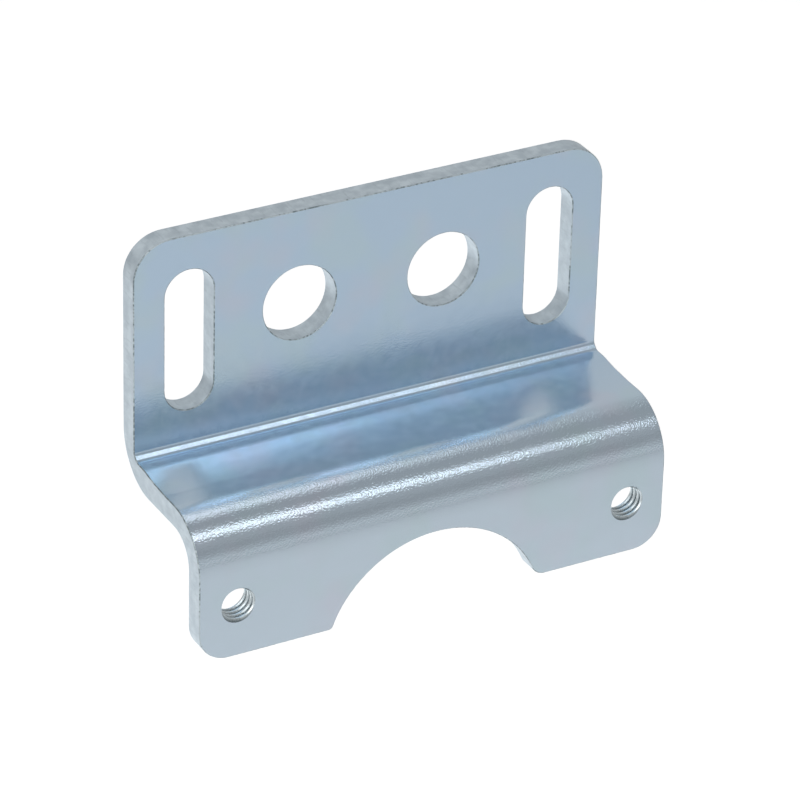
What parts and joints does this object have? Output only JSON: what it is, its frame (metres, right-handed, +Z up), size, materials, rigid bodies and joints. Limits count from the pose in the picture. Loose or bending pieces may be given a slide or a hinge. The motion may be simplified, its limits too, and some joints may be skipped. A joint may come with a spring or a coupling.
{
  "type": "stamped metal bracket",
  "caption": "Offset Z-shaped bracket folded from zinc-plated sheet steel, with round holes, upright slots, threaded holes and an arched notch in its foot.",
  "frame": {"origin": "on the rear face of the upper plate, midway between the two round holes", "axes": "+X along the width of the plates, +Y out of the rear face towards the surface it is screwed to, +Z up from the foot to the top edge"},
  "size_m": [0.065, 0.021, 0.0484],
  "materials": {
    "zinc_plated_steel": "bright zinc plating with a pale blue passivation, over smooth cold-rolled sheet"
  },
  "bodies": {
    "root": {"bracket": "zinc_plated_steel"}
  },
  "joints": []
}
